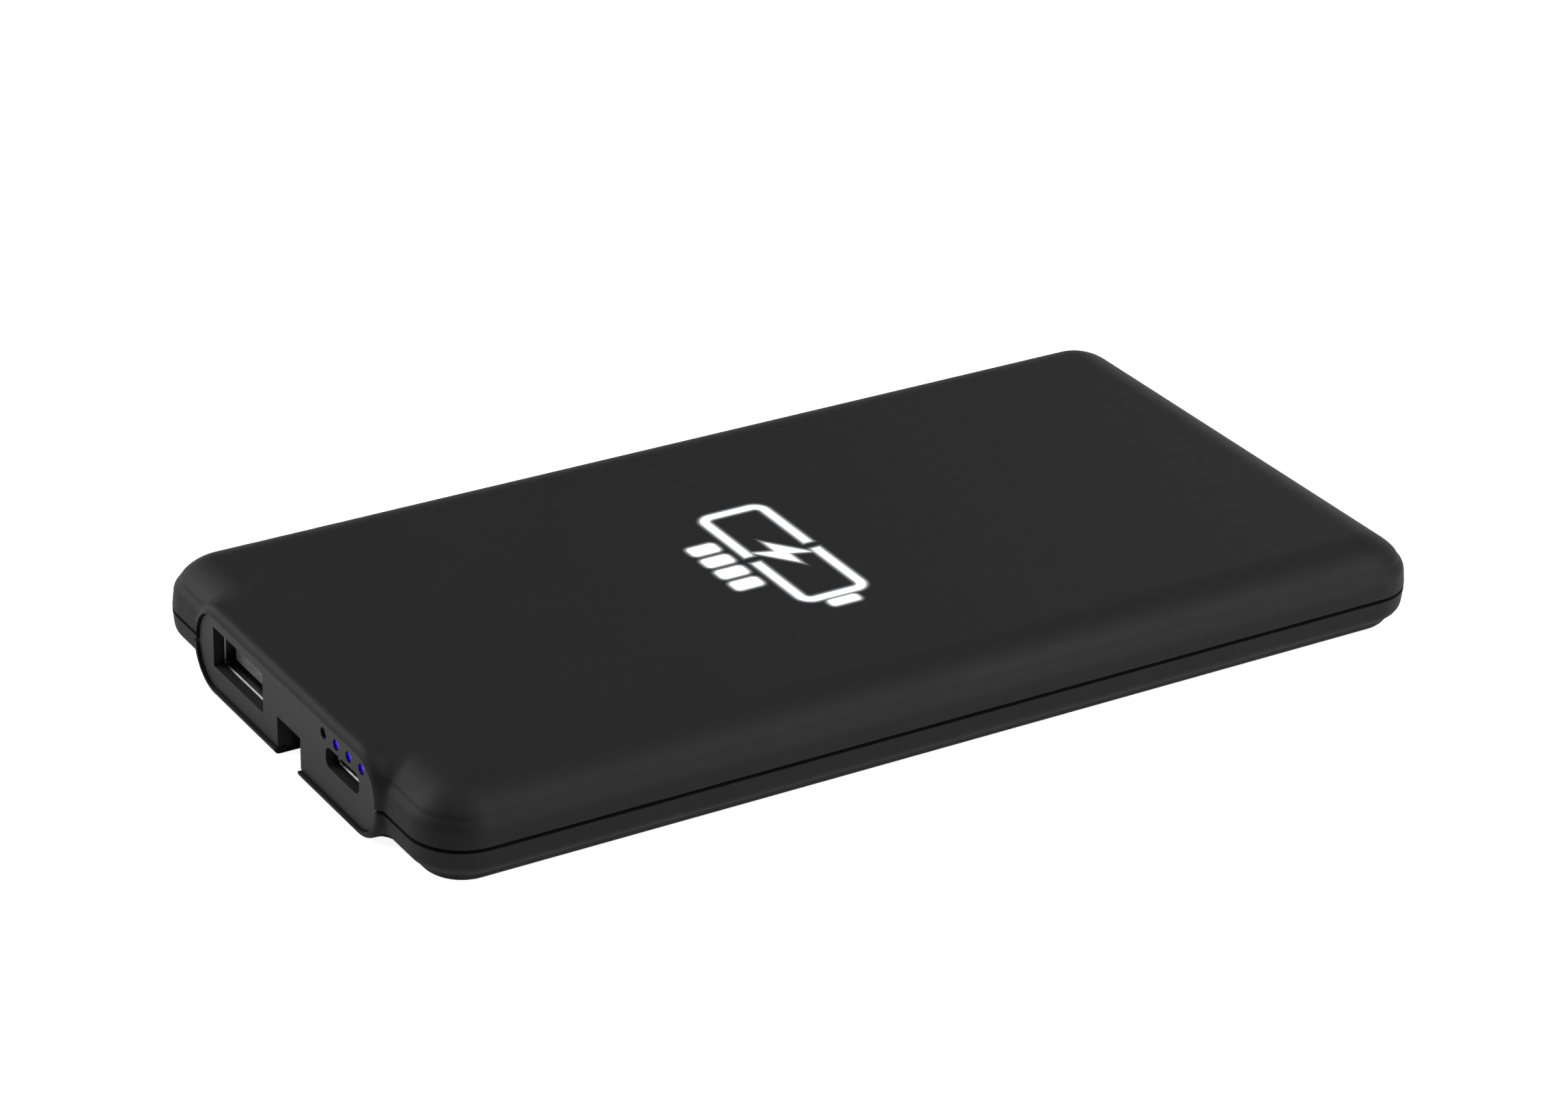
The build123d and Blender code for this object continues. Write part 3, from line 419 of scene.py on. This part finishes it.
def soft_touch_black():
    """Rubbery coating with fine grain, rubbed edges, cloudy marks and the symbol's light in it."""
    material, tree, shader = new_finish(
        "soft_touch_black", IOR=1.48, Specular_IOR_Level=0.16, Sheen_Weight=0.02, Sheen_Roughness=0.45,
        Emission_Strength=1.0)
    grain = use_group(tree, grain_group, Size=0.11, Waviness=0.5)
    worn = use_group(tree, wear_group, Radius=0.35, Patch=4.0)["Mask"]
    handled = use_group(tree, handling_group, Size=16.0)["Mask"]
    spill = use_group(tree, spill_group, Reach=HALO_REACH)["Mask"]
    coat = blend_colours(tree, grain["Fleck"], colour(0.0064), colour(0.0088, 0.0088, 0.009))
    coat = blend_colours(tree, sum_of(tree, "MULTIPLY", worn, 0.6), coat, colour(0.018, 0.0178, 0.0175))
    rough = sum_of(tree, "MULTIPLY_ADD", handled, -0.07, 0.56)
    rough = sum_of(tree, "MULTIPLY_ADD", worn, -0.12, rough)
    rough = sum_of(tree, "MULTIPLY_ADD", grain["Fleck"], 0.03, rough)
    light = blend_colours(tree, spill, colour(0.0), colour(0.75, 0.77, 0.8))
    feed(tree, shader, Base_Color=coat, Roughness=rough, Emission_Color=light)
    emboss(tree, shader, grain["Height"], 0.25, 0.02)
    return material


finishes["soft_touch_black"] = soft_touch_black()
print("finish:", finishes["soft_touch_black"].name)

# %% [markdown]
# ### Moulded black plastics
# The port panel, the power button and the inner mouldings are bare plastic. Their moulds are spark-eroded,
# which leaves a coarser and sharper grain than the paint. One function makes all of them, because they
# differ only in darkness, grain size and gloss.

# %% Moulded plastics
def moulded_plastic(name, dark, light, grain_size, roughness, relief, gloss):
    """Bare moulded plastic between two shades, with an eroded grain and rubbed edges."""
    material, tree, shader = new_finish(name, Specular_IOR_Level=gloss)
    grain = use_group(tree, grain_group, Size=grain_size, Waviness=0.4)
    worn = use_group(tree, wear_group, Radius=0.15, Patch=1.5)["Mask"]
    shade = blend_colours(tree, grain["Fleck"], dark, light)
    shade = blend_colours(tree, sum_of(tree, "MULTIPLY", worn, 0.5), shade, scaled(light, 2.0))
    rough = sum_of(tree, "MULTIPLY_ADD", grain["Fleck"], 0.1, roughness)
    rough = sum_of(tree, "MULTIPLY_ADD", worn, -0.15, rough)
    feed(tree, shader, Base_Color=shade, Roughness=rough)
    emboss(tree, shader, grain["Height"], relief, 0.02)
    return material


MOULDED = {
    # name: darker and lighter shade, grain size in millimetres, roughness, relief, gloss
    "panel_black": (colour(0.01), colour(0.018), 0.14, 0.5, 0.6, 0.3),
    "button_black": (colour(0.012), colour(0.018), 0.1, 0.45, 0.3, 0.4),
    "tongue_black": (colour(0.02), colour(0.03), 0.08, 0.4, 0.3, 0.4),
    "switch_black": (colour(0.025), colour(0.035), 0.08, 0.4, 0.3, 0.4),
    "tongue_grey": (colour(0.06), colour(0.2), 0.18, 0.45, 0.8, 0.4),
}
for name, values in MOULDED.items():
    finishes[name] = moulded_plastic(name, *values)
print("moulded:", list(MOULDED))

# %% [markdown]
# ### Lit pieces
# The inlays of the symbol glow an almost even white, with soft patches that are a touch brighter. The gauge
# uses one clear moulding whose four tips fill the holes of the panel. Three of the four are lit, so the
# moulding is blue near the axes of three tips only, and dark and clear elsewhere.

# %% Glowing inlays
def glow_white():
    """Frosted inlay whose white light is slightly uneven."""
    material, tree, shader = new_finish(
        "glow_white", Base_Color=colour(0.8), Roughness=0.35, Emission_Strength=1.35)
    place = place_in_mm(tree)
    hot = noise(tree, place, 5.0, detail=1.0)
    frost = noise(tree, place, 0.15, detail=3.0)
    light = blend_colours(tree, between(tree, hot, 0.3, 0.7), colour(0.88, 0.9, 0.94), colour(1.0))
    feed(tree, shader, Emission_Color=light)
    emboss(tree, shader, frost, 0.2, 0.01)
    return material


finishes["glow_white"] = glow_white()
print("finish:", finishes["glow_white"].name)

# %% Clear acrylic, plain and with the gauge's blue tips
TIP_PITCH, TIP_RADIUS = 3.0 * MM, 0.6 * MM
TIP_GLOW, TIP_CORE = 0.66, 0.1            # radii where the light ends and where it is full, in millimetres
first_tip_y = pipes_high.y - TIP_RADIUS   # the unlit tip, nearest the middle
tip_z = pipes_high.z - TIP_RADIUS


def clear_acrylic(name):
    """Clear moulded acrylic with faint flow clouds in its polish."""
    material, tree, shader = new_finish(
        name, Base_Color=colour(0.93, 0.95, 0.96), IOR=1.49, Transmission_Weight=1.0)
    clouds = noise(tree, place_in_mm(tree), 0.8, detail=2.0)
    feed(tree, shader, Roughness=between(tree, clouds, 0.3, 0.7, 0.05, 0.16))
    return material, tree, shader


def gauge_acrylic():
    """Clear acrylic that is lit blue along the axes of three of its four tips."""
    material, tree, shader = clear_acrylic("gauge_acrylic")
    shader.inputs["Emission Strength"].default_value = 1.0
    split = put(tree, "SeparateXYZ", {0: place_in_mm(tree)}).outputs
    count = sum_of(tree, "DIVIDE", sum_of(tree, "SUBTRACT", first_tip_y / MM, split["Y"]), TIP_PITCH / MM)
    nearest = sum_of(tree, "ROUND", count)
    lit = sum_of(tree, "GREATER_THAN", nearest, 0.5)
    across = sum_of(tree, "MULTIPLY", sum_of(tree, "SUBTRACT", count, nearest), TIP_PITCH / MM)
    rise = sum_of(tree, "SUBTRACT", split["Z"], tip_z / MM)
    squared = sum_of(tree, "MULTIPLY_ADD", across, across, sum_of(tree, "MULTIPLY", rise, rise))
    away = sum_of(tree, "SQRT", squared)
    core = sum_of(tree, "MULTIPLY", between(tree, away, TIP_GLOW, TIP_CORE), lit)
    feed(tree, shader, Emission_Color=blend_colours(tree, core, colour(0.0), colour(0.035, 0.006, 1.0)))
    return material


finishes["clear_acrylic"] = clear_acrylic("clear_acrylic")[0]
own_finishes = {"gauge_light_pipes": gauge_acrylic()}
print("first tip at y", round(first_tip_y / MM, 2), "mm, z", round(tip_z / MM, 2), "mm")

# %% Lamps
def lamp(name, body, light, strength):
    """Small chip lamp: speckled resin that shines unevenly, as grainy phosphor does."""
    material, tree, shader = new_finish(name, Roughness=0.3, Emission_Strength=strength)
    specks = noise(tree, place_in_mm(tree), 0.12, detail=2.0)
    resin = blend_colours(tree, specks, body, scaled(body, 0.6))
    shine = blend_colours(tree, between(tree, specks, 0.3, 0.7), light, scaled(light, 0.8))
    feed(tree, shader, Base_Color=resin, Emission_Color=shine)
    return material


finishes["lamp_white"] = lamp("lamp_white", colour(0.85, 0.8, 0.45), colour(1.0, 0.98, 0.9), 3.0)
finishes["lamp_blue"] = lamp("lamp_blue", colour(0.3, 0.35, 0.8), colour(0.05, 0.08, 1.0), 2.0)
print("lamps:", finishes["lamp_white"].name, finishes["lamp_blue"].name)

# %% [markdown]
# ### Metals
# The socket shells are thin spring steel with a tin plate, the screws are zinc-plated, the cell's strips
# are nickel and the contacts are gold-plated. The socket steel's shades are kept far darker than tin plate:
# that is painted shade for the dark insides of the sockets. Rolling, drawing and turning all leave fine
# lines, the plate is duller in small spots, and edges are rubbed brighter.

# %% Plated metals
def plated_metal(name, base, tarnish, roughness, line_size):
    """Plated metal with fine lines, dull spots and bright edges."""
    material, tree, shader = new_finish(name, Metallic=1.0)
    lines = use_group(tree, brushed_group, Size=line_size, Stretch=25.0)["Line"]
    worn = use_group(tree, wear_group, Radius=0.08, Patch=0.8)["Mask"]
    stains = noise(tree, place_in_mm(tree), 1.3, detail=4.0)
    shade = blend_colours(tree, between(tree, stains, 0.5, 0.75), base, tarnish)
    shade = blend_colours(tree, worn, shade, scaled(base, 1.25))
    rough = sum_of(tree, "MULTIPLY_ADD", lines, 0.18, roughness)
    rough = sum_of(tree, "MULTIPLY_ADD", stains, 0.1, rough)
    feed(tree, shader, Base_Color=shade, Roughness=rough)
    emboss(tree, shader, lines, 0.3, 0.008)
    return material


METALS = {
    # name: clean and tarnished shade, roughness, size of its lines in millimetres
    # socket_steel: both shades far darker than tin plate, as painted shade for the sockets' dark insides
    "socket_steel": (colour(0.14, 0.14, 0.137), colour(0.08, 0.08, 0.077), 0.22, 0.05),
    "screw_steel": (colour(0.55, 0.56, 0.58), colour(0.35, 0.35, 0.36), 0.25, 0.05),
    "tab_nickel": (colour(0.66, 0.62, 0.55), colour(0.45, 0.42, 0.36), 0.28, 0.05),
    "contact_gold": (colour(0.9, 0.62, 0.22), colour(0.6, 0.4, 0.15), 0.16, 0.03),
}
for name, values in METALS.items():
    finishes[name] = plated_metal(name, *values)
print("metals:", list(METALS))

# %% [markdown]
# ### Circuit board and its parts
# A board is glass cloth under a glossy green lacquer. Copper tracks under the lacquer show as paler,
# slightly raised bands. The outer parts of square Voronoi cells, with some joints of a brick pattern, look
# like such tracks without drawing each one. The parts on it are moulded epoxy, fired ceramic and sintered
# ferrite.

# %% Board lacquer
def board_green():
    """Green lacquer over raised copper tracks and glass cloth."""
    material, tree, shader = new_finish("board_green", Coat_Weight=0.4, Coat_Roughness=0.12)
    place = place_in_mm(tree)
    cells = put(tree, "TexVoronoi", {"Vector": place, "Scale": 0.45}, distance="CHEBYCHEV")
    bands = put(tree, "TexWave", {"Vector": cells.outputs["Position"], "Scale": 0.8})
    steps = put(tree, "TexBrick", {"Vector": place, "Scale": 0.35, "Mortar Size": 0.06, "Mortar Smooth": 0.1})
    tracks = sum_of(tree, "MAXIMUM", sum_of(tree, "GREATER_THAN", cells.outputs["Distance"], 0.8),
                    sum_of(tree, "MULTIPLY", steps.outputs["Fac"], bands.outputs["Fac"]))
    cloth = noise(tree, place, 0.3, detail=2.0)
    shade = blend_colours(tree, tracks, colour(0.008, 0.075, 0.035), colour(0.02, 0.16, 0.07))
    shade = blend_colours(tree, sum_of(tree, "MULTIPLY", cloth, 0.3), shade, colour(0.004, 0.04, 0.02))
    feed(tree, shader, Base_Color=shade, Roughness=between(tree, cloth, 0.3, 0.7, 0.3, 0.42))
    emboss(tree, shader, tracks, 0.4, 0.035)
    return material


finishes["board_green"] = board_green()
print("finish:", finishes["board_green"].name)

# %% Ceramic, ferrite and epoxy
def fired_body(name, dark, light, speck, roughness):
    """Fired or sintered body with specks of the powder that it was pressed from."""
    material, tree, shader = new_finish(name)
    specks = put(tree, "TexVoronoi", {"Vector": place_in_mm(tree), "Scale": 1 / speck}).outputs["Distance"]
    mottled = between(tree, specks, 0.15, 0.6)
    rough = sum_of(tree, "MULTIPLY_ADD", mottled, 0.15, roughness)
    feed(tree, shader, Base_Color=blend_colours(tree, mottled, light, dark), Roughness=rough)
    emboss(tree, shader, specks, 0.3, 0.01)
    return material


FIRED = {
    # name: darker and lighter shade, size of the specks in millimetres, roughness
    "ferrite_grey": (colour(0.06, 0.06, 0.065), colour(0.12, 0.12, 0.125), 0.2, 0.5),
    "capacitor_tan": (colour(0.36, 0.24, 0.13), colour(0.5, 0.36, 0.21), 0.15, 0.4),
    "resistor_black": (colour(0.015), colour(0.03, 0.03, 0.034), 0.12, 0.35),
    "chip_black": (colour(0.018), colour(0.034), 0.08, 0.55),
}
for name, values in FIRED.items():
    finishes[name] = fired_body(name, *values)
print("fired:", list(FIRED))

# %% [markdown]
# ### Cell, tape and foam
# The pouch is aluminium foil under a clear nylon film, drawn over the cell like a stiff bag, so it has soft
# creases. The tape is a fibrous white paper and the pad above the cell is open foam with visible cells.

# %% Pouch foil
def pouch_foil():
    """Creased aluminium foil under a clear film."""
    material, tree, shader = new_finish("pouch_foil", Metallic=0.9, Coat_Weight=0.5, Coat_Roughness=0.15)
    place = place_in_mm(tree)
    creases = noise(tree, place, 9.0, detail=5.0, distortion=2.5)
    ridges = sum_of(tree, "ABSOLUTE", sum_of(tree, "SUBTRACT", creases, 0.5))
    lines = use_group(tree, brushed_group, Size=0.08, Stretch=40.0)["Line"]
    shade = blend_colours(tree, between(tree, ridges, 0.0, 0.15), colour(0.78), colour(0.66, 0.66, 0.67))
    feed(tree, shader, Base_Color=shade, Roughness=sum_of(tree, "MULTIPLY_ADD", lines, 0.15, 0.22))
    emboss(tree, shader, ridges, 0.5, 0.3)
    return material


finishes["pouch_foil"] = pouch_foil()
print("finish:", finishes["pouch_foil"].name)

# %% Tape and foam
def tape_white():
    """White paper tape with long fibres."""
    material, tree, shader = new_finish("tape_white", Specular_IOR_Level=0.3)
    fibres = use_group(tree, brushed_group, Size=0.12, Stretch=8.0)["Line"]
    shade = blend_colours(tree, fibres, colour(0.72, 0.71, 0.67), colour(0.86, 0.85, 0.82))
    feed(tree, shader, Base_Color=shade, Roughness=between(tree, fibres, 0.3, 0.7, 0.6, 0.8))
    emboss(tree, shader, fibres, 0.4, 0.03)
    return material


def foam_black():
    """Open foam whose pores are painted darker: painted shade in their hollows."""
    material, tree, shader = new_finish("foam_black", Specular_IOR_Level=0.2, Roughness=0.9)
    pores = put(tree, "TexVoronoi", {"Vector": place_in_mm(tree), "Scale": 2.6}).outputs["Distance"]
    hollow = between(tree, pores, 0.1, 0.5)
    # the sunken middle of each pore is painted darker than the cell walls: painted shade
    feed(tree, shader, Base_Color=blend_colours(tree, hollow, colour(0.012), colour(0.05, 0.05, 0.052)))
    emboss(tree, shader, hollow, 0.9, 0.2)
    return material


finishes["tape_white"] = tape_white()
finishes["foam_black"] = foam_black()
print("finishes:", len(finishes))

# %% [markdown]
# ## Put the finishes on
# The record says which finish each piece takes, so one loop dresses them all. A piece with a finish of its
# own, such as the gauge's light pipes, is looked up first.

# %% Dress the pieces
for part in frame["record"]["subparts"]:
    piece = nodes[part["node"]]
    finish = own_finishes.get(part["node"], finishes[part["material_slot"]])
    for slot in piece.material_slots:
        slot.material = finish

# %% [markdown]
# ## Floor
# The object lies on a plain, pale floor. It is large, so that no edge shows in any view, and it lies a hair
# below the lowest point, so that the two faces never flicker. It is lit from within like a light table, but
# for the camera alone: the Light Path node tells the rays that come straight from the camera from all
# others. So the object stands on an even white with only a trace of shadow, and the floor throws no extra
# light into its hollows.

# %% The floor
FLOOR_SIZE = 6.0
FLOOR_DROP = 0.02 * MM
FLOOR_GLOW = 0.9

floor_mesh = bpy.data.meshes.new("floor")
half = FLOOR_SIZE / 2
corners = ((-half, -half), (half, -half), (half, half), (-half, half))
floor_z = lowest[2] - FLOOR_DROP
floor_mesh.from_pydata([(x, y, floor_z) for x, y in corners], [], [(0, 1, 2, 3)])
floor = bpy.data.objects.new("floor", floor_mesh)
bpy.context.scene.collection.objects.link(floor)
floor_finish, tree, shader = new_finish(
    "floor_paper", Specular_IOR_Level=0.2, Emission_Color=colour(FLOOR_GLOW))
fibres = noise(tree, place_in_mm(tree), 1.5, detail=3.0)
feed(tree, shader, Base_Color=blend_colours(tree, fibres, colour(0.86), colour(0.9)),
     Roughness=between(tree, fibres, 0.3, 0.7, 0.75, 0.9),
     Emission_Strength=put(tree, "LightPath").outputs["Is Camera Ray"])
floor_mesh.materials.append(floor_finish)
print("floor at z", round(floor_z / MM, 3), "mm")
